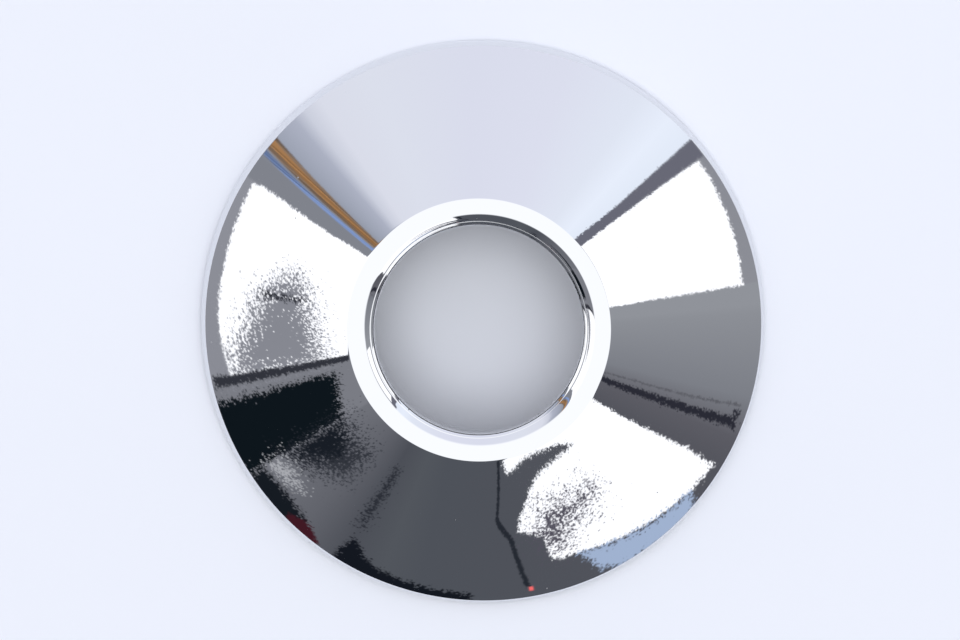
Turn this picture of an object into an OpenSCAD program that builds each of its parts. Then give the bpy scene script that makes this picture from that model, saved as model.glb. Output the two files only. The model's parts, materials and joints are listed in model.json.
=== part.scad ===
// Pressed sheet-metal escutcheon for a wall tap: a domed cone with a flat land on
// top, and a throat that dips from the land to a lipped neck round the pipe hole.
// It is one pressing, so it is one solid. Millimetres. The origin is the centre of
// the rim, in the plane of the wall, and +Z points from the wall to the tap.

/* [Overall] */
// Outer diameter of the rim
rim_d = 60; // [50:0.5:90]
// Height of the land above the wall
height = 12; // [8:0.5:16]
// Thickness of the sheet
sheet_t = 0.5; // [0.3:0.05:0.8]

/* [Pipe hole] */
// Diameter of the hole inside the neck
bore_d = 21.8; // [15:0.1:30]
// Length of the straight wall of the neck
neck_len = 1.5; // [1:0.1:4]
// Radius of the rounded lip at the top of the neck
lip_r = 0.55; // [0.3:0.05:1]
// Slope of the lip where it starts, at the foot of the throat
lip_slope = 10; // [0:1:20]
// Inside radius of the throat, between the land and the lip
throat_in_r = 1.1; // [0.4:0.1:3]
// Slope of the throat where it meets the lip
throat_slope = 45; // [30:1:60]

/* [Land] */
// Width of the flat land between the throat and the crease
land_w = 1.1; // [0.1:0.1:5]
// Inside radius of the crease between land and cone
crease_in_r = 0.1; // [0.05:0.05:1]

/* [Cone and rim] */
// Radius of the dome that the cone is pressed to
crown_r = 80; // [30:1:300]
// Inside radius of the bend where the cone turns down to the wall
rim_in_r = 0.9; // [0.3:0.1:3]
// Height of the straight skirt that meets the wall
skirt_h = 0.7; // [0.1:0.1:3]

/* [Smoothness] */
// Furthest that a chord may lie from its arc
chord_tol = 0.002; // [0.001:0.001:0.02]
// Number of steps in one turn about the axis
turn_steps = 180; // [60:12:360]

/* [Hidden] */
// Colour of bright chrome plate
chrome_colour = [0.80, 0.82, 0.86];

rim_r = rim_d / 2;
bore_r = bore_d / 2;

// Radii of the face that shows: each bend is its inside radius plus the sheet
throat_r = throat_in_r + sheet_t;
crease_r = crease_in_r + sheet_t;
rim_bend_r = rim_in_r + sheet_t;

// Point [radius, height] of a circle about c, in direction a from +radius
function on_circle(c, r, a) = c + r * [cos(a), sin(a)];

// The throat rolls off the land to its own slope, and the lip starts at that foot
// with a flatter slope and rolls down to the wall of the bore
lip_a = 90 + lip_slope;
throat_a = 90 + throat_slope;
lip_foot_r = bore_r + lip_r * (1 + cos(lip_a));
throat_c = [lip_foot_r - throat_r * cos(throat_a), height - throat_r];
lip_foot_z = on_circle(throat_c, throat_r, throat_a).y;
lip_c = [bore_r + lip_r, lip_foot_z - lip_r * sin(lip_a)];
neck_end_z = lip_c.y - neck_len;

// On the hidden face the throat runs straight on at its slope until it meets the
// outside of the neck, one sheet from the bore
neck_out_r = bore_r + sheet_t;
throat_back = on_circle(throat_c, throat_in_r, throat_a);
neck_top_z = throat_back.y - (throat_back.x - neck_out_r) * tan(throat_slope);

// Centres of the crease bend, at the land's outer edge, and of the rim bend
crease_c = [throat_c.x + land_w, height - crease_r];
rim_c = [rim_r - rim_bend_r, skirt_h];

// The dome touches the crease bend and the rim bend without a corner, so its
// centre lies crown_r less each bend's radius from that bend's centre. It is
// where circles of those two radii cross, on the side of the axis.
span = rim_c - crease_c;
gap = norm(span);
to_crease = crown_r - crease_r;
to_rim = crown_r - rim_bend_r;
along = (to_crease ^ 2 - to_rim ^ 2 + gap ^ 2) / (2 * gap);
across = sqrt(to_crease ^ 2 - along ^ 2);
crown_c = crease_c + (along * span + across * [span.y, -span.x]) / gap;

// Directions, from the dome's centre, in which it meets the two bends
crease_a = atan2(crease_c.y - crown_c.y, crease_c.x - crown_c.x);
rim_a = atan2(rim_c.y - crown_c.y, rim_c.x - crown_c.x);

// Points of an arc about c from angle a0 to a1, no further than chord_tol from it.
// skip leaves out the first point, where an arc goes on from the one before.
function arc_steps(r, turn) =
    max(2, ceil(turn / (2 * acos(1 - min(chord_tol / r, 0.5)))));
function arc(c, r, a0, a1, skip = 0) =
    let (n = arc_steps(r, abs(a1 - a0)))
    [for (i = [skip:n]) on_circle(c, r, a0 + (a1 - a0) * i / n)];

// One face of the sheet from the throat to the foot of the rim. The face that
// shows is at depth 0 and the hidden face is one sheet deeper.
function sheet_face(depth, skip = 0) = concat(
    arc(throat_c, throat_r - depth, throat_a, 90, skip),
    arc(crease_c, crease_r - depth, 90, crease_a),
    arc(crown_c, crown_r - depth, crease_a, rim_a, 1),
    arc(rim_c, rim_bend_r - depth, rim_a, 0, 1),
    [[rim_r - depth, 0]]
);

// The neck's own faces: the bore and its lip, which ends where the throat starts,
// and the outside
neck_bore = concat([[bore_r, neck_end_z]], arc(lip_c, lip_r, 180, lip_a));
neck_outside = [[neck_out_r, neck_end_z], [neck_out_r, neck_top_z]];

// Section of the sheet: the face that shows, then the hidden face back again
function reversed(points) = [for (i = [len(points) - 1:-1:0]) points[i]];
section = concat(
    neck_bore,
    sheet_face(0, 1),
    reversed(concat(neck_outside, sheet_face(sheet_t)))
);

module escutcheon() {
    color(chrome_colour)
        rotate_extrude($fn = turn_steps)
            polygon(section);
}

escutcheon();
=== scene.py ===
"""Wall-tap escutcheon: the chrome-plated pressing, and the table and light room that it is shown in.

Laid out as a Blender add-on and run as a script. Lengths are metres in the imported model's
frame: the origin is the centre of the rim in the plane of the wall, and +Z points to the tap.
"""
import json

import bpy
import numpy as np
from bpy.props import FloatProperty, FloatVectorProperty, IntProperty, PointerProperty
from mathutils import Matrix, Vector


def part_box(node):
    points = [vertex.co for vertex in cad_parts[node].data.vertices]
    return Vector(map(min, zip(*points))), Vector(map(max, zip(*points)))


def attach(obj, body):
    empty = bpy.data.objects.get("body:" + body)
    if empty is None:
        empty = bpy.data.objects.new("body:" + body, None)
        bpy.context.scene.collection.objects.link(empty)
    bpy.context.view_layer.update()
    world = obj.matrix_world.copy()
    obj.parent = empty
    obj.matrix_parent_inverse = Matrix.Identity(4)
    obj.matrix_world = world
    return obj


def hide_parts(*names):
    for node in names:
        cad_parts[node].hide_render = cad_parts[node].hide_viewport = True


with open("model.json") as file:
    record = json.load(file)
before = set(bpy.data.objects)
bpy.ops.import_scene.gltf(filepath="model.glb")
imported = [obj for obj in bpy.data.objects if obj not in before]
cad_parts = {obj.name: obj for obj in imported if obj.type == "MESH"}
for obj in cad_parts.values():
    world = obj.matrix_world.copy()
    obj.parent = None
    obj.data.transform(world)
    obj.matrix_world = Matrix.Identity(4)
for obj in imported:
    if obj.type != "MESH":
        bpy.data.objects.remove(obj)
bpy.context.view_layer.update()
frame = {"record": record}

bl_info = {
    "name": "Wall-Tap Escutcheon",
    "version": (1, 0, 0),
    "blender": (4, 5, 0),
    "location": "3D View > Sidebar > Escutcheon",
    "description": "Makes a pressed chrome escutcheon, its table and its light room",
    "category": "Mesh",
}

BODY = "root"
NODE = "escutcheon"
MM = 0.001

node_low, node_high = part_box(NODE)
RIM_D = node_high.x - node_low.x
HEIGHT = node_high.z - node_low.z
PIPE_BORE = next(m for m in frame["record"]["mounts"] if m["name"] == "pipe_bore")
BORE_R = PIPE_BORE["dims"]["r_mm"] * MM
SKIRT = 0.7 * MM                  # straight foot of the rim, up to the mean rim bend

DUST_PER_M, DUST_SIZE = 420.0, 0.05   # cells per metre, and a speck's share of its cell
DUST_TONE = (0.55, 0.55, 0.56, 1)
DULL_TONE = (0.47, 0.46, 0.45, 1)     # cloudy parts of the hidden side
DRAWN_RINGS, DRAWN_CELLS = 2600.0, 3500.0   # per metre, on the hidden side
SHEAR_CELLS = 7000.0                  # per metre, on the sheared edges

TABLE_LIT, TABLE_PLAIN = 0.12, 0.3    # metres out: the lit table starts to fade, and is plain
CAMERA_LEAN = (0.033, 0.0757)         # sideways and forward parts of the camera's direction
LENS, SENSOR = 175.8, 36.0            # millimetres
PICTURE_W = 960                       # pixels
OFF_CENTRE = (-2.1, 1.7)              # pixels by which the picture is shifted


# Settings

def length(name, text, value, low=0.0, high=0.1):
    """A length property in metres, shown to a hundredth of a millimetre."""
    return FloatProperty(name=name, description=text, default=value, min=low, max=high,
                         precision=5, subtype="DISTANCE", unit="LENGTH")


def turn(name, text, degrees):
    """An angle property, given here in degrees."""
    return FloatProperty(name=name, description=text, default=float(np.radians(degrees)),
                         subtype="ANGLE", unit="ROTATION")


def colour(name, text, value):
    """A linear colour property."""
    return FloatVectorProperty(name=name, description=text, default=value, size=3,
                               subtype="COLOR", min=0.0, max=1.0)


class PressingSizes(bpy.types.PropertyGroup):
    """Sizes of the pressed sheet."""

    rim_d: length("Rim diameter", "Across the rim, against the wall", RIM_D)
    height: length("Height", "From the wall to the land", HEIGHT)
    sheet: length("Sheet", "Thickness of the plated sheet", 0.5 * MM)
    bore_r: length("Bore radius", "Inside of the neck round the pipe", BORE_R)
    neck: length("Neck length", "Straight neck below the lip", 1.5 * MM)
    lip_r: length("Lip bend", "Bend from the neck out to the lip", 0.55 * MM)
    lip_slope: turn("Lip slope", "Fall of the lip where the throat starts", 10)
    throat_r: length("Throat bend", "Bend from the land down to the lip", 1.6 * MM)
    throat_slope: turn("Throat slope", "Slope of the throat at its foot", 45)
    land: length("Land width", "Flat ring between throat and crease", 1.1 * MM)
    crease_r: length("Crease bend", "Tight bend from the land to the cone", 0.6 * MM)
    crown_r: length("Crown radius", "Bulge of the cone in section", 80 * MM)
    rim_r: length("Rim bend", "Mean bend from the cone to the skirt", 1.4 * MM)
    rim_swing: length("Rim swing", "How far the rim bend grows and shrinks round the rim", 0.75 * MM)
    rim_wide: turn("Widest rim bend", "Azimuth at which the rim bend is widest", 120)
    shear_r: length("Sheared corner", "Rounding of the sheared edges", 0.1 * MM)
    azimuths: IntProperty(name="Azimuths", description="Sections round the pressing",
                          default=540, min=24, max=720)


class PlatingFinish(bpy.types.PropertyGroup):
    """Finish of the plating."""

    chrome: colour("Chrome", "Colour of the bright plating", (0.80, 0.81, 0.83))
    satin: colour("Satin", "Colour of the hidden side", (0.56, 0.56, 0.55))
    sheared: colour("Sheared edge", "Colour of the sheared edges", (0.66, 0.66, 0.67))
    peel_cell: length("Peel cell", "Size of the waves left by the polishing", 0.22 * MM)
    peel_depth: length("Peel depth", "Depth of those waves", 0.0002 * MM)


class StageSettings(bpy.types.PropertyGroup):
    """Table, light room and camera."""

    table: colour("Table", "Colour of the pale table", (0.83, 0.855, 0.92))
    room_r: length("Room radius", "Radius of the light room", 3.0, high=10.0)
    lamp_side: length("Lamp side", "Side of the soft overhead lamp", 1.6, high=10.0)
    lamp_height: length("Lamp height", "Height of the lamp over the table", 1.8, high=10.0)
    lamp_power: FloatProperty(name="Lamp power", description="Power of the lamp in watts",
                              default=8.0, min=0.0, unit="POWER")
    distance: length("Camera distance", "From the rim's centre to the camera", 0.5, high=10.0)


# Pressing

def arc(centre_r, centre_z, radius, start, end, count, shape):
    """Points on a circle in the section plane: centre + radius (cos a, sin a), with a running evenly
    from start to end. The normals are (cos a, sin a). Each value may differ from azimuth to azimuth."""
    share = np.linspace(0.0, 1.0, count)[:, None]
    a = start + (end - start) * share + np.zeros(shape)
    c, s = np.cos(a), np.sin(a)
    return centre_r + radius * c, centre_z + radius * s, c, s


def line(r0, z0, r1, z1, normal_r, normal_z, count, shape):
    """Points on a straight stretch of the section, from (r0, z0) to (r1, z1), with one normal."""
    share = np.linspace(0.0, 1.0, count)[:, None]
    zero = np.zeros(shape)
    return (r0 + (r1 - r0) * share + zero, z0 + (z1 - z0) * share + zero,
            normal_r + zero * share, normal_z + zero * share)


def pressing_section(sizes, azimuth):
    """Closed section of the sheet at each azimuth, as stretches of tangent arcs and straights.

    The visible face runs from the neck over lip, throat, land, crease, crown and rim to the skirt.
    The hidden face is the same line, offset inwards by the sheet, and the two sheared edges close
    it. Each tangent bend between the crown circle and a straight has its centre at its own radius
    from both. Returns a list of (stretch name, r, z, normal r, normal z), rows along the section
    and columns round the pressing.
    """
    one = (1, azimuth.size)
    t, top, rim = sizes.sheet, sizes.height, sizes.rim_d / 2
    bore, lip_r, throat_r = sizes.bore_r, sizes.lip_r, sizes.throat_r
    lip_a = np.pi / 2 + sizes.lip_slope
    throat_a = np.pi / 2 + sizes.throat_slope
    half, flat = np.pi / 2, np.pi

    foot_r = bore + lip_r * (1 + np.cos(lip_a))
    throat_cr, throat_cz = foot_r - throat_r * np.cos(throat_a), top - throat_r
    foot_z = throat_cz + throat_r * np.sin(throat_a)
    lip_cr, lip_cz = bore + lip_r, foot_z - lip_r * np.sin(lip_a)
    neck_end = lip_cz - sizes.neck
    neck_out = bore + t
    back_r = throat_cr + (throat_r - t) * np.cos(throat_a)
    back_z = throat_cz + (throat_r - t) * np.sin(throat_a)
    neck_top = back_z - (back_r - neck_out) * np.tan(sizes.throat_slope)

    # The crown circle is tangent to the mean crease bend and the mean rim bend.
    mean_crease = np.array([throat_cr + sizes.land, top - sizes.crease_r])
    mean_rim = np.array([rim - sizes.rim_r, SKIRT])
    span = mean_rim - mean_crease
    gap = np.hypot(*span)
    to_crease, to_rim = sizes.crown_r - sizes.crease_r, sizes.crown_r - sizes.rim_r
    along = (to_crease ** 2 - to_rim ** 2 + gap ** 2) / (2 * gap)
    across = np.sqrt(to_crease ** 2 - along ** 2)
    crown = mean_crease + (along * span + across * np.array([span[1], -span[0]])) / gap

    crease_r = sizes.crease_r + np.zeros(one)
    crease_cz = top - crease_r
    crease_cr = crown[0] + np.sqrt((sizes.crown_r - crease_r) ** 2 - (crease_cz - crown[1]) ** 2)
    rim_r = sizes.rim_r + sizes.rim_swing * np.cos(azimuth - sizes.rim_wide)[None, :]
    rim_cr = rim - rim_r
    rim_cz = crown[1] + np.sqrt((sizes.crown_r - rim_r) ** 2 - (rim_cr - crown[0]) ** 2)
    crease_a = np.arctan2(crease_cz - crown[1], crease_cr - crown[0])
    rim_a = np.arctan2(rim_cz - crown[1], rim_cr - crown[0])
    edge = sizes.shear_r
    burr = edge * 0.5

    def bend(cr, cz, r, a0, a1, n):
        return arc(cr, cz, r, a0, a1, n, one)

    def straight(r0, z0, r1, z1, nr, nz, n):
        return line(r0, z0, r1, z1, nr, nz, n, one)

    def inside(points):
        r, z, nr, nz = (v[::-1] for v in points)
        return r, z, -nr, -nz

    return [
        ("neck", *straight(bore, neck_end + burr, bore, lip_cz, -1, 0, 4)),
        ("lip", *bend(lip_cr, lip_cz, lip_r, flat, lip_a, 12)),
        ("throat", *bend(throat_cr, throat_cz, throat_r, throat_a, half, 14)),
        ("land", *straight(throat_cr, top, crease_cr, top, 0, 1, 4)),
        ("crease", *bend(crease_cr, crease_cz, crease_r, half, crease_a, 10)),
        ("crown", *bend(crown[0], crown[1], sizes.crown_r, crease_a, rim_a, 26)),
        ("rim", *bend(rim_cr, rim_cz, rim_r, rim_a, 0.0, 22)),
        ("skirt", *straight(rim, rim_cz, rim, edge, 1, 0, 3)),
        ("rim edge", *bend(rim - edge, edge, edge, 0.0, -half, 6)),
        ("rim edge", *straight(rim - edge, 0.0, rim - t + burr, 0.0, 0, -1, 2)),
        ("rim edge", *bend(rim - t + burr, burr, burr, -half, -flat, 4)),
        ("back", *inside(straight(rim - t, rim_cz, rim - t, burr, 1, 0, 2))),
        ("back", *inside(bend(rim_cr, rim_cz, rim_r - t, rim_a, 0.0, 10))),
        ("back", *inside(bend(crown[0], crown[1], sizes.crown_r - t, crease_a, rim_a, 16))),
        ("back", *inside(bend(crease_cr, crease_cz, crease_r - t, half, crease_a, 4))),
        ("back", *inside(straight(throat_cr, top - t, crease_cr, top - t, 0, 1, 2))),
        ("back", *inside(bend(throat_cr, throat_cz, throat_r - t, throat_a, half, 8))),
        ("back", *straight(back_r, back_z, neck_out, neck_top,
                           np.sin(sizes.throat_slope), -np.cos(sizes.throat_slope), 2)),
        ("back", *straight(neck_out, neck_top, neck_out, neck_end + burr, 1, 0, 3)),
        ("neck edge", *bend(neck_out - burr, neck_end + burr, burr, 0.0, -half, 4)),
        ("neck edge", *straight(neck_out - burr, neck_end, bore + burr, neck_end, 0, -1, 2)),
        ("neck edge", *bend(bore + burr, neck_end + burr, burr, -half, -flat, 4)),
    ]


def revolve(stretches, azimuth):
    """Grid of a section carried round the axis: point = (r cos az, r sin az, z).

    Where the section changes with azimuth, the normal leans along the ring by
    -(normal r dr/daz + normal z dz/daz) / r, which keeps it square to the surface.
    Returns each row's point and normal, and the name of its stretch.
    """
    r, z, nr, nz = (np.concatenate([s[k] for s in stretches]) for k in (1, 2, 3, 4))
    names = [s[0] for s in stretches for _ in range(len(s[1]))]
    step = 2 * np.pi / azimuth.size

    def change(v):
        return (np.roll(v, -1, 1) - np.roll(v, 1, 1)) / (2 * step)

    lean = -(nr * change(r) + nz * change(z)) / r
    c, s = np.cos(azimuth), np.sin(azimuth)
    point = np.stack([r * c, r * s, z], -1)
    normal = np.stack([nr * c - lean * s, nr * s + lean * c, nz], -1)
    normal /= np.linalg.norm(normal, axis=-1, keepdims=True)
    return point, normal, names


def revolved_mesh(name, stretches, azimuth, slots):
    """Closed mesh of a revolved section, its normals taken from the section's own formula.

    Rows that meet at the same place are made one ring, and keep a normal for each side, so the
    fold at the foot of the throat stays crisp. slots maps a stretch's name to its material.
    """
    point, normal, names = revolve(stretches, azimuth)
    rows, count = point.shape[:2]
    same = np.linalg.norm(point - np.roll(point, 1, 0), axis=-1).max(1) < 1e-9
    ring = np.cumsum(~same) - 1
    ring[same & (np.arange(rows) == 0)] = ring[-1]
    rings = int(ring.max()) + 1
    first = np.array([np.flatnonzero(ring == k)[0] for k in range(rings)])
    below = np.flatnonzero(~np.roll(same, -1))
    above = (below + 1) % rows

    col = np.arange(count)
    nxt = (col + 1) % count
    low, high = ring[below][:, None] * count, ring[above][:, None] * count
    quads = np.stack([low + col, high + col, high + nxt, low + nxt], -1).reshape(-1, 4)
    corner = np.stack([normal[below][:, col], normal[above][:, col],
                       normal[above][:, nxt], normal[below][:, nxt]], 2).reshape(-1, 3)

    mesh = bpy.data.meshes.new(name)
    mesh.from_pydata(point[first].reshape(-1, 3), [], quads.tolist())
    mesh.polygons.foreach_set("use_smooth", np.ones(len(quads), bool))
    order = list(dict.fromkeys(slots.values()))
    for material in order:
        mesh.materials.append(material)
    index = np.array([order.index(slots[names[b]]) for b in below], np.int32)
    mesh.polygons.foreach_set("material_index", np.repeat(index, count))
    mesh.normals_split_custom_set(corner.tolist())
    mesh.update()
    return mesh


# Finish

class Graph:
    """Short hand for adding nodes to a tree and linking them."""

    def __init__(self, tree):
        self.tree = tree

    def add(self, kind, inputs=None, **settings):
        node = self.tree.nodes.new(kind)
        for key, value in settings.items():
            setattr(node, key, value)
        for key, value in (inputs or {}).items():
            if isinstance(value, bpy.types.NodeSocket):
                self.tree.links.new(value, node.inputs[key])
            else:
                node.inputs[key].default_value = value
        return node

    def math(self, operation, *values, clamp=False):
        return self.add("ShaderNodeMath", dict(enumerate(values)), operation=operation,
                        use_clamp=clamp).outputs[0]

    def spread(self, value, low, high, to_low=0.0, to_high=1.0):
        return self.add("ShaderNodeMapRange", {"Value": value, "From Min": low, "From Max": high,
                                               "To Min": to_low, "To Max": to_high},
                        interpolation_type="SMOOTHSTEP").outputs[0]


def peel_group():
    """Node group: the height of the fine waves that polishing and plating leave on sheet.

    Two noises, one at the given cell and one four times larger, are added, the larger at 1.5.
    """
    name = "Polished sheet waves"
    if name in bpy.data.node_groups:
        return bpy.data.node_groups[name]
    tree = bpy.data.node_groups.new(name, "ShaderNodeTree")
    face = tree.interface
    face.new_socket("Cells per metre", in_out="INPUT", socket_type="NodeSocketFloat")
    face.new_socket("Height", in_out="OUTPUT", socket_type="NodeSocketFloat")
    g = Graph(tree)
    given = g.add("NodeGroupInput")
    place = g.add("ShaderNodeTexCoord").outputs["Object"]
    fine = g.add("ShaderNodeTexNoise", {"Vector": place, "Scale": given.outputs[0],
                                        "Detail": 1.0, "Roughness": 0.5})
    coarse = g.add("ShaderNodeTexNoise", {"Vector": place, "Detail": 0.0,
                                          "Scale": g.math("MULTIPLY", given.outputs[0], 0.25)})
    height = g.math("MULTIPLY_ADD", coarse.outputs[0], 1.5, fine.outputs[0])
    g.add("NodeGroupOutput", {0: height})
    return tree


def marks_group():
    """Node group: sparse dust and handling marks, as a mask from 0 to 1.

    Dust is where a cell noise's distance to its point falls under a small radius in a few cells.
    """
    name = "Dust and handling marks"
    if name in bpy.data.node_groups:
        return bpy.data.node_groups[name]
    tree = bpy.data.node_groups.new(name, "ShaderNodeTree")
    face = tree.interface
    face.new_socket("Specks per metre", in_out="INPUT", socket_type="NodeSocketFloat")
    face.new_socket("Speck size", in_out="INPUT", socket_type="NodeSocketFloat")
    face.new_socket("Dust", in_out="OUTPUT", socket_type="NodeSocketFloat")
    face.new_socket("Haze", in_out="OUTPUT", socket_type="NodeSocketFloat")
    g = Graph(tree)
    given = g.add("NodeGroupInput")
    place = g.add("ShaderNodeTexCoord").outputs["Object"]
    cells = g.add("ShaderNodeTexVoronoi", {"Vector": place, "Scale": given.outputs[0]})
    few = g.spread(g.add("ShaderNodeSeparateColor", {"Color": cells.outputs["Color"]}).outputs[0],
                   0.80, 0.82)
    near = g.spread(cells.outputs["Distance"], given.outputs[1],
                    g.math("MULTIPLY", given.outputs[1], 0.5))
    haze = g.add("ShaderNodeTexNoise", {"Vector": place, "Scale": 90.0, "Detail": 3.0})
    g.add("NodeGroupOutput", {0: g.math("MULTIPLY", few, near),
                              1: g.spread(haze.outputs[0], 0.45, 0.75)})
    return tree


def new_material(name):
    """An empty node material and its output."""
    material = bpy.data.materials.new(name)
    material.use_nodes = True
    material.node_tree.nodes.clear()
    g = Graph(material.node_tree)
    return material, g, g.add("ShaderNodeOutputMaterial")


def bright_chrome(finish):
    """Mirror plating: faint waves, a little haze and a few specks of dust."""
    material, g, out = new_material("bright chrome")
    waves = g.add("ShaderNodeGroup", node_tree=peel_group())
    waves.inputs[0].default_value = 1 / finish.peel_cell
    marks = g.add("ShaderNodeGroup", node_tree=marks_group())
    marks.inputs[0].default_value = DUST_PER_M
    marks.inputs[1].default_value = DUST_SIZE
    bump = g.add("ShaderNodeBump", {"Height": waves.outputs[0], "Strength": 1.0,
                                    "Distance": finish.peel_depth})
    tint = g.add("ShaderNodeMix", {"Factor": marks.outputs["Dust"], "A": (*finish.chrome, 1),
                                   "B": DUST_TONE}, data_type="RGBA")
    rough = g.math("MULTIPLY_ADD", marks.outputs["Dust"], 0.5,
                   g.math("MULTIPLY_ADD", marks.outputs["Haze"], 0.012, 0.018))
    shader = g.add("ShaderNodeBsdfPrincipled", {
        "Base Color": tint.outputs[2], "Metallic": 1.0, "Roughness": rough,
        "Normal": bump.outputs[0]})
    g.tree.links.new(shader.outputs[0], out.inputs[0])
    return material


def satin_back(finish):
    """Hidden side: thin dull plating over drawn sheet, with rings left by the press tool."""
    material, g, out = new_material("satin back")
    place = g.add("ShaderNodeTexCoord").outputs["Object"]
    flat = g.add("ShaderNodeVectorMath", {0: place, 1: (1, 1, 0)}, operation="MULTIPLY")
    radius = g.add("ShaderNodeVectorMath", {0: flat.outputs[0]}, operation="LENGTH").outputs["Value"]
    ring = g.add("ShaderNodeTexNoise", {"W": radius, "Scale": DRAWN_RINGS, "Detail": 2.0},
                 noise_dimensions="1D")
    waves = g.add("ShaderNodeGroup", node_tree=peel_group())
    waves.inputs[0].default_value = DRAWN_CELLS
    cloud = g.add("ShaderNodeTexNoise", {"Vector": place, "Scale": 160.0, "Detail": 4.0})
    height = g.math("MULTIPLY_ADD", ring.outputs[0], 0.6, waves.outputs[0])
    bump = g.add("ShaderNodeBump", {"Height": height, "Strength": 1.0, "Distance": 0.000004})
    dull = g.spread(cloud.outputs[0], 0.35, 0.7)
    tint = g.add("ShaderNodeMix", {"Factor": dull, "A": (*finish.satin, 1),
                                   "B": DULL_TONE}, data_type="RGBA")
    shader = g.add("ShaderNodeBsdfPrincipled", {
        "Base Color": tint.outputs[2], "Metallic": 1.0,
        "Roughness": g.spread(dull, 0.0, 1.0, 0.3, 0.42), "Normal": bump.outputs[0]})
    g.tree.links.new(shader.outputs[0], out.inputs[0])
    return material


def sheared_edge(finish):
    """Sheared edges: plated over a torn face, so dull and finely scored across."""
    material, g, out = new_material("sheared edge")
    waves = g.add("ShaderNodeGroup", node_tree=peel_group())
    waves.inputs[0].default_value = SHEAR_CELLS
    bump = g.add("ShaderNodeBump", {"Height": waves.outputs[0], "Strength": 1.0,
                                    "Distance": 0.00001})
    shader = g.add("ShaderNodeBsdfPrincipled", {
        "Base Color": (*finish.sheared, 1), "Metallic": 1.0,
        "Roughness": g.spread(waves.outputs[0], 0.8, 1.7, 0.18, 0.34),
        "Normal": bump.outputs[0]})
    g.tree.links.new(shader.outputs[0], out.inputs[0])
    return material


# Light room

def lit(red, green, blue):
    """Light that shows in the chrome as this 8-bit colour: the colour made linear, over the plating's
    own reflectance."""
    shown = np.array([red, green, blue]) / 255
    linear = np.where(shown > 0.04045, ((shown + 0.055) / 1.055) ** 2.4, shown / 12.92)
    return linear / np.array([0.80, 0.81, 0.83])


CARD = np.array([1.35, 1.35, 1.38])   # a lit card, a little over white in the chrome
LIT_CEILING = np.array([1.2, 1.21, 1.24])
LIT_TABLE = np.array([0.83, 0.855, 0.92])

# Walls from left to right: azimuth in degrees, and how that stretch shows in the chrome.
WALL = [
    (0.0, (144, 147, 154)), (4.5, (144, 147, 154)), (4.8, (140, 142, 150)),
    (35.0, (138, 140, 149)), (39.2, (110, 111, 122)), (39.7, (226, 234, 248)),
    (46.0, (231, 238, 252)), (54.0, (223, 229, 243)), (72.0, (219, 222, 238)),
    (95.0, (217, 220, 236)), (118.0, (219, 223, 236)), (130.0, (217, 220, 233)),
    (134.0, (203, 207, 221)), (137.0, (172, 177, 194)), (142.3, (156, 162, 178)),
    (147.8, (128, 131, 140)), (152.4, (128, 131, 140)), (153.0, (142, 144, 153)),
    (195.0, (138, 140, 149)), (197.6, (122, 124, 132)), (216.0, (122, 124, 132)),
    (217.0, (112, 114, 122)), (230.0, (98, 100, 108)), (240.0, (76, 79, 87)),
    (248.0, (82, 86, 93)), (256.0, (78, 82, 90)), (277.0, (79, 82, 90)), (324.0, (84, 85, 93)),
    (331.0, (92, 92, 100)), (334.8, (108, 109, 117)), (340.0, (124, 127, 135)),
    (358.0, (140, 143, 150)), (360.0, (144, 147, 154)),
]

# Height of the ceiling's edge round the room, and half its soft width, in degrees.
CEILING = [
    (0, 46, 4), (35, 50, 4), (45, 56, 7), (90, 62, 9), (135, 66, 7), (150, 68, 4), (156, 60, 9),
    (192, 60, 9), (198, 66, 4), (222, 65, 4), (250, 62, 5), (277, 59, 4), (280, 40, 6),
    (322, 42, 6), (328, 55, 5), (345, 50, 6), (360, 46, 4),
]

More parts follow.
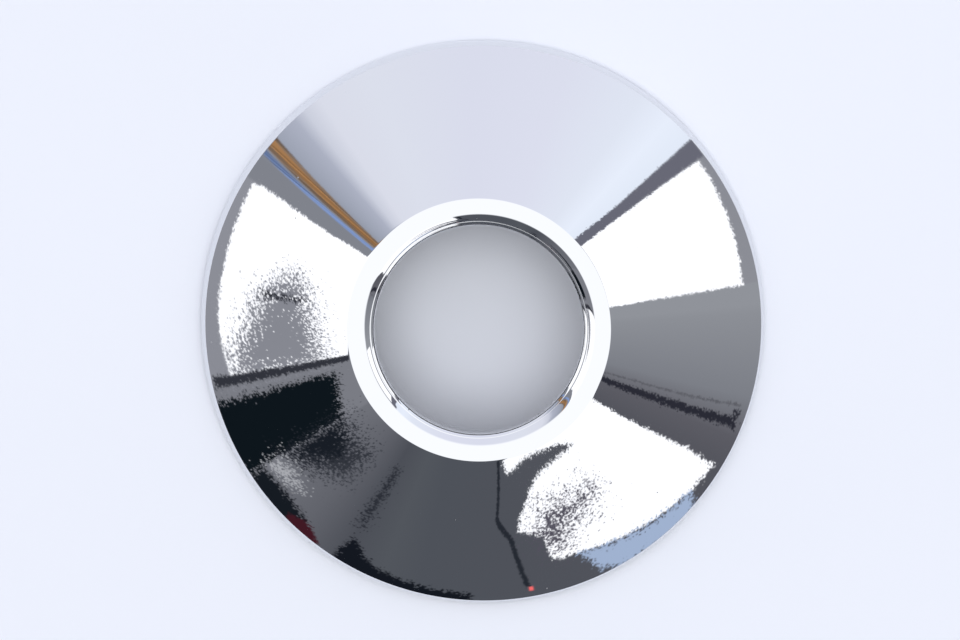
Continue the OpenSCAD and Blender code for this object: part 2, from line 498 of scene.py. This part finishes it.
# Cards and flags: name, what shows in the chrome (or a light value), softness of the edge and its
# grain in degrees, and the corners as azimuth and elevation in degrees.
PANELS = [
    ("right card", CARD, 0.35, 0.2,
     [(4.6, 12.6), (34.7, 12.7), (35.4, 20), (36.0, 30), (37.6, 41), (37.0, 44), (5.0, 44), (4.9, 30)]),
    ("strip by the right card", (104, 105, 118), 0.4, 0.25,
     [(34.9, 11), (39.3, 11), (39.3, 30), (41.0, 40), (41.0, 56), (37.6, 56), (36.0, 30), (35.0, 13)]),
    ("left card", CARD, 0.35, 0.2,
     [(153.4, 9.8), (152.5, 12), (152.7, 20), (153.1, 28), (152.4, 34), (151.5, 90), (195.9, 90),
      (195.7, 8.8), (184.0, 8.3), (172.0, 9.2), (160.0, 9.8)]),
    ("left wedge", (134, 136, 145), 1.3, 2.2,
     [(169.0, 24.0), (171.0, 25.6), (175.0, 27.0), (185.0, 28.0), (197.0, 28.6), (197.0, 9.2),
      (191.5, 10.6), (187.0, 13.0), (181.0, 15.6), (176.0, 17.4), (172.5, 20.5)]),
    ("wedge crease", (50, 52, 60), 0.5, 0.8,
     [(176.0, 18.0), (176.8, 18.0), (176.7, 26.5), (175.9, 26.5)]),
    ("post", (50, 52, 60), 0.4, 0.3,
     [(195.3, 5), (197.7, 5), (197.9, 30), (197.3, 45), (195.9, 80), (195.5, 45), (195.8, 20)]),
    ("black flag", (14, 22, 28), 0.4, 0.7,
     [(200.6, 2), (216.3, 2), (216.2, 26.6), (209.0, 28.2), (203.0, 29.4), (200.8, 29.4)]),
    ("flag's soft side", (50, 53, 61), 1.6, 2.0,
     [(216.3, 26.3), (223.0, 25.6), (230.5, 24.6), (231.0, 22.0), (229.0, 18.0), (223.0, 14.6),
      (216.3, 10.8)]),
    ("flag's dark side", (24, 29, 37), 2.4, 1.2,
     [(215.8, 25.8), (222.0, 24.4), (225.0, 21.0), (222.0, 17.5), (215.8, 12.0)]),
    ("glint by the flag", (168, 170, 176), 1.0, 1.5,
     [(216.4, 8.2), (220.5, 8.6), (224.0, 10.2), (219.0, 10.6), (216.4, 10.0)]),
    ("low blob", (22, 27, 34), 0.7, 0.5,
     [(216.3, 6.4), (220.0, 7.0), (226.0, 6.6), (230.0, 5.4), (233.0, 3.0), (233.0, -1.0),
      (216.3, -1.0)]),
    ("red card", (64, 26, 36), 0.5, 0.2,
     [(226.5, 4.0), (229.0, 5.0), (231.5, 5.0), (234.5, 3.0), (234.0, 1.0), (227.0, 1.0)]),
    ("soft post", (44, 47, 55), 0.9, 0.9,
     [(239.0, 12.0), (240.6, 12.0), (241.6, 25.0), (240.2, 25.0)]),
    ("dark foot", (20, 24, 32), 0.5, 0.4,
     [(238.0, 0.0), (238.6, 5.0), (240.0, 8.4), (241.5, 8.0), (243.5, 6.0), (246.5, 4.7), (252.0, 4.0),
      (266.0, 3.7), (266.0, 0.0)]),
    ("line to the lamp", (38, 42, 50), 0.35, 0.1,
     [(275.0, 60), (275.2, 32), (272.3, 20), (272.7, 18.5), (275.1, 15.5), (276.9, 5.0), (278.0, 5.0),
      (276.2, 16.2), (273.8, 19.4), (273.2, 20.5), (276.2, 32), (276.6, 60)]),
    ("pilot lamp", (250, 110, 110), 0.4, 0.0,
     [(277.6, 4.2), (278.4, 4.2), (278.4, 5.0), (277.6, 5.0)]),
    ("window card", CARD, 0.35, 0.35,
     [(277.6, 29.0), (278.0, 90), (327.0, 90), (326.5, 60), (323.3, 36), (323.1, 30), (324.5, 15),
      (323.9, 7.9), (316.0, 7.9), (308.0, 8.3), (298.0, 9.2), (290.0, 10.0), (284.0, 10.0),
      (283.4, 12.0), (283.2, 15.2), (278.0, 17.4), (278.8, 20), (280.6, 22), (284.0, 25.4),
      (288.0, 27.8), (294.0, 29.3), (304.3, 30.7), (300.0, 32.0), (292.0, 32.3), (285.0, 31.4)]),
    ("creased cloth", (84, 82, 94), 2.0, 2.8,
     [(282.5, 16.5), (285.0, 20.4), (290.0, 20.8), (300.0, 21.4), (298.0, 19.5), (291.0, 17.0),
      (287.0, 13.0), (284.5, 13.0)]),
    ("blue cloth", (160, 178, 208), 0.6, 0.6,
     [(290.0, 9.8), (292.5, 5.0), (296.0, 3.5), (314.0, 3.5), (316.5, 7.9), (308.0, 8.3),
      (298.0, 9.2)]),
    ("door edge", (42, 43, 53), 0.35, 0.35,
     [(331.3, 60), (331.7, 30), (332.7, 9.0), (332.2, 8.0), (336.4, 8.6), (336.6, 9.6), (335.0, 9.6),
      (333.9, 30), (333.6, 60)]),
    ("door line", (94, 95, 102), 0.3, 0.2,
     [(335.3, 40), (335.9, 40), (337.0, 20), (338.0, 9.0), (337.5, 9.0), (336.5, 20)]),
]


def signed_depth(az, el, corners):
    """Depth in degrees inside a closed outline, negative outside: the least distance to its sides,
    signed by whether a level ray from the point crosses an odd number of them."""
    corners = np.asarray(corners, float)
    least = np.full(az.shape, 1e9)
    odd = np.zeros(az.shape, bool)
    for (x0, y0), (x1, y1) in zip(corners, np.roll(corners, -1, 0)):
        dx, dy = x1 - x0, y1 - y0
        t = np.clip(((az - x0) * dx + (el - y0) * dy) / (dx * dx + dy * dy), 0, 1)
        least = np.minimum(least, np.hypot(az - x0 - t * dx, el - y0 - t * dy))
        if dy:
            odd ^= ((y0 > el) != (y1 > el)) & (az < x0 + (el - y0) * dx / dy)
    return np.where(odd, least, -least)


def ramp(x):
    """Smooth step from 0 to 1."""
    x = np.clip(x, 0, 1)
    return x * x * (3 - 2 * x)


def room_light(az, el):
    """Light of the room by direction, as whole arrays of azimuth and elevation in degrees.

    The walls' tone is read off WALL by azimuth. Each panel is then laid over by a mask that rises
    across its edge, with seeded grain added to the depth first. The lit ceiling comes last, above
    its own edge, and below the horizon the light is that of the table.
    """
    rng = np.random.default_rng(7)
    wall_az = [w[0] for w in WALL]
    tones = np.array([lit(*w[1]) for w in WALL])
    light = np.stack([np.interp(az, wall_az, tones[:, k]) for k in range(3)], -1)
    grain = rng.normal(size=az.shape)
    grain = (grain + np.roll(grain, 1, 1)) / np.sqrt(2)

    streak = np.interp(az, np.arange(142, 149, 0.25), rng.uniform(0.6, 1.5, 28))
    lean = (el - 10) / 26 * 2.0
    for name, tone, left, right in [("frame", (128, 108, 92), 142.4, 145.5),
                                    ("frame's warm side", (158, 118, 80), 143.2, 144.6),
                                    ("frame's cool side", (110, 130, 172), 145.9, 147.0)]:
        mask = ramp((az - left - lean) / 0.5 + 0.5) * ramp((right + lean - az) / 0.5 + 0.5)
        mask = (mask * (el > 5))[..., None]
        light = light * (1 - mask) + (lit(*tone) * streak[..., None]) * mask

    for name, tone, soft, rough, corners in PANELS:
        light_value = tone if isinstance(tone, np.ndarray) else lit(*tone)
        depth = signed_depth(az, el, corners) + rough * grain
        mask = ramp(depth / soft + 0.5)[..., None]
        light = light * (1 - mask) + light_value * mask

    edge = np.interp(az, [c[0] for c in CEILING], [c[1] for c in CEILING])
    width = np.interp(az, [c[0] for c in CEILING], [c[2] for c in CEILING])
    mask = ramp((el - edge) / (2 * width) + 0.5)[..., None]
    light = light * (1 - mask) + LIT_CEILING * mask
    mask = ramp(0.5 - el / 1.0)[..., None]
    return light * (1 - mask) + LIT_TABLE * mask


def room_rows():
    """Elevations of the light room's rings: close together where the cone of the part looks."""
    return np.concatenate([np.arange(-90, -4, 6.0), np.arange(-4, 44, 0.2), np.arange(44, 90.1, 1.0)])


def build_room(stage):
    """Sphere of light round the table: point = R (cos el cos az, cos el sin az, sin el)."""
    az, el = np.arange(0, 360, 0.25), room_rows()
    A, E = np.meshgrid(az, el)
    a, e = np.radians(A), np.radians(E)
    point = stage.room_r * np.stack([np.cos(e) * np.cos(a), np.cos(e) * np.sin(a), np.sin(e)], -1)
    rows, count = A.shape
    base = (np.arange(rows - 1) * count)[:, None]
    col, nxt = np.arange(count), (np.arange(count) + 1) % count
    quads = np.stack([base + col, base + count + col, base + count + nxt, base + nxt], -1)
    mesh = bpy.data.meshes.new("light room")
    mesh.from_pydata(point.reshape(-1, 3), [], quads.reshape(-1, 4).tolist())
    light = np.ones((rows * count, 4), np.float32)
    light[:, :3] = room_light(A, E).reshape(-1, 3)
    mesh.color_attributes.new("light", "FLOAT_COLOR", "POINT").data.foreach_set("color", light.ravel())

    material, g, out = new_material("room light")
    tone = g.add("ShaderNodeAttribute", attribute_name="light")
    glow = g.add("ShaderNodeEmission", {"Color": tone.outputs["Color"], "Strength": 1.0})
    g.tree.links.new(glow.outputs[0], out.inputs[0])
    material.cycles.emission_sampling = "NONE"
    mesh.materials.append(material)
    room = bpy.data.objects.new("light_room", mesh)
    room.visible_camera = False
    return room


def build_table(stage):
    """Square pale table in the plane of the rim. Far out it is plain pale, and from below it is
    clear, so that the hidden side can be looked at."""
    half = stage.room_r * 0.95
    mesh = bpy.data.meshes.new("table")
    mesh.from_pydata([(-half, -half, 0), (half, -half, 0), (half, half, 0), (-half, half, 0)], [],
                     [(0, 1, 2, 3)])
    material, g, out = new_material("pale table")
    pale = (*stage.table, 1)
    matt = g.add("ShaderNodeBsdfDiffuse", {"Color": pale})
    plain = g.add("ShaderNodeEmission", {"Color": pale, "Strength": 1.0})
    place = g.add("ShaderNodeTexCoord").outputs["Object"]
    away = g.add("ShaderNodeVectorMath", {0: place}, operation="LENGTH").outputs["Value"]
    far = g.spread(away, TABLE_LIT, TABLE_PLAIN)
    path = g.add("ShaderNodeLightPath").outputs
    seen = g.math("ADD", g.math("ADD", path["Is Camera Ray"], path["Is Glossy Ray"], clamp=True),
                  path["Is Transmission Ray"], clamp=True)
    top = g.add("ShaderNodeMixShader", {0: g.math("MULTIPLY", far, seen), 1: matt.outputs[0],
                                        2: plain.outputs[0]})
    clear = g.add("ShaderNodeBsdfTransparent")
    under = g.math("MAXIMUM", g.add("ShaderNodeNewGeometry").outputs["Backfacing"],
                   g.math("GREATER_THAN", path["Transparent Depth"], 0.5))
    both = g.add("ShaderNodeMixShader", {0: under, 1: top.outputs[0], 2: clear.outputs[0]})
    g.tree.links.new(both.outputs[0], out.inputs[0])
    material.cycles.emission_sampling = "NONE"
    mesh.materials.append(material)
    return bpy.data.objects.new("table", mesh)


def build_lamp(stage):
    """Large soft lamp straight above the part, which the plating doesn't show."""
    lamp = bpy.data.lights.new("overhead lamp", "AREA")
    lamp.shape, lamp.size = "SQUARE", stage.lamp_side
    lamp.energy = stage.lamp_power
    held = bpy.data.objects.new("overhead_lamp", lamp)
    held.location = (0, 0, stage.lamp_height)
    held.visible_glossy = False
    return held


def build_camera(stage):
    """Camera above the part, leaning a little to the right and to the top of the picture."""
    lean = Vector((*CAMERA_LEAN, 0.0))
    lean.z = (1 - lean.x ** 2 - lean.y ** 2) ** 0.5
    lens = bpy.data.cameras.new("camera")
    lens.lens, lens.sensor_width = LENS, SENSOR
    lens.shift_x, lens.shift_y = (pixels / PICTURE_W for pixels in OFF_CENTRE)
    lens.clip_start, lens.clip_end = 0.01, 20.0
    camera = bpy.data.objects.new("camera", lens)
    camera.location = lean * stage.distance
    right = Vector((0, 1, 0)).cross(lean).normalized()
    up = lean.cross(right)
    camera.rotation_euler = Matrix((right, up, lean)).transposed().to_euler()
    return camera


# Operators

class ESCUTCHEON_OT_press(bpy.types.Operator):
    """Make the plated pressing in place of the plain CAD node"""

    bl_idname = "escutcheon.press"
    bl_label = "Press Escutcheon"

    def execute(self, context):
        sizes, finish = context.scene.pressing_sizes, context.scene.plating_finish
        azimuth = np.arange(sizes.azimuths) * 2 * np.pi / sizes.azimuths
        chrome, satin, cut = bright_chrome(finish), satin_back(finish), sheared_edge(finish)
        slots = dict.fromkeys(("neck", "lip", "throat", "land", "crease", "crown", "rim", "skirt"),
                              chrome)
        slots.update({"back": satin, "rim edge": cut, "neck edge": cut})
        mesh = revolved_mesh("escutcheon pressing", pressing_section(sizes, azimuth), azimuth, slots)
        piece = bpy.data.objects.new("escutcheon_pressing", mesh)
        context.scene.collection.objects.link(piece)
        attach(piece, BODY)
        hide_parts(NODE)
        return {"FINISHED"}


class ESCUTCHEON_OT_stage(bpy.types.Operator):
    """Lay the pale table, and set up the light room, the lamp and the camera"""

    bl_idname = "escutcheon.stage"
    bl_label = "Set Stage"

    def execute(self, context):
        scene = context.scene
        stage = scene.stage_settings
        table, room = build_table(stage), build_room(stage)
        for held in (table, room, build_lamp(stage)):
            scene.collection.objects.link(held)
        camera = build_camera(stage)
        scene.collection.objects.link(camera)
        scene.camera = camera
        world = bpy.data.worlds.new("pale surround")
        world.use_nodes = True
        world.node_tree.nodes["Background"].inputs["Color"].default_value = (*stage.table, 1)
        world.node_tree.nodes["Background"].inputs["Strength"].default_value = 1.0
        scene.world = world
        scene.view_settings.view_transform = "Standard"
        return {"FINISHED"}


class ESCUTCHEON_PT_sidebar(bpy.types.Panel):
    """Sizes, finish and stage of the escutcheon"""

    bl_idname = "ESCUTCHEON_PT_sidebar"
    bl_label = "Escutcheon"
    bl_space_type = "VIEW_3D"
    bl_region_type = "UI"
    bl_category = "Escutcheon"

    def draw(self, context):
        for group, operator in (("pressing_sizes", None), ("plating_finish", ESCUTCHEON_OT_press),
                                ("stage_settings", ESCUTCHEON_OT_stage)):
            settings = getattr(context.scene, group)
            box = self.layout.box()
            for name in settings.bl_rna.properties.keys():
                if name not in ("rna_type", "name"):
                    box.prop(settings, name)
            if operator:
                self.layout.operator(operator.bl_idname)


GROUPS = {"pressing_sizes": PressingSizes, "plating_finish": PlatingFinish,
          "stage_settings": StageSettings}
CLASSES = (*GROUPS.values(), ESCUTCHEON_OT_press, ESCUTCHEON_OT_stage, ESCUTCHEON_PT_sidebar)


def register():
    for cls in CLASSES:
        bpy.utils.register_class(cls)
    for name, cls in GROUPS.items():
        setattr(bpy.types.Scene, name, PointerProperty(type=cls))


def unregister():
    for name in GROUPS:
        delattr(bpy.types.Scene, name)
    for cls in reversed(CLASSES):
        bpy.utils.unregister_class(cls)


def main():
    register()
    bpy.ops.escutcheon.press()
    bpy.ops.escutcheon.stage()


if __name__ == "__main__":
    main()
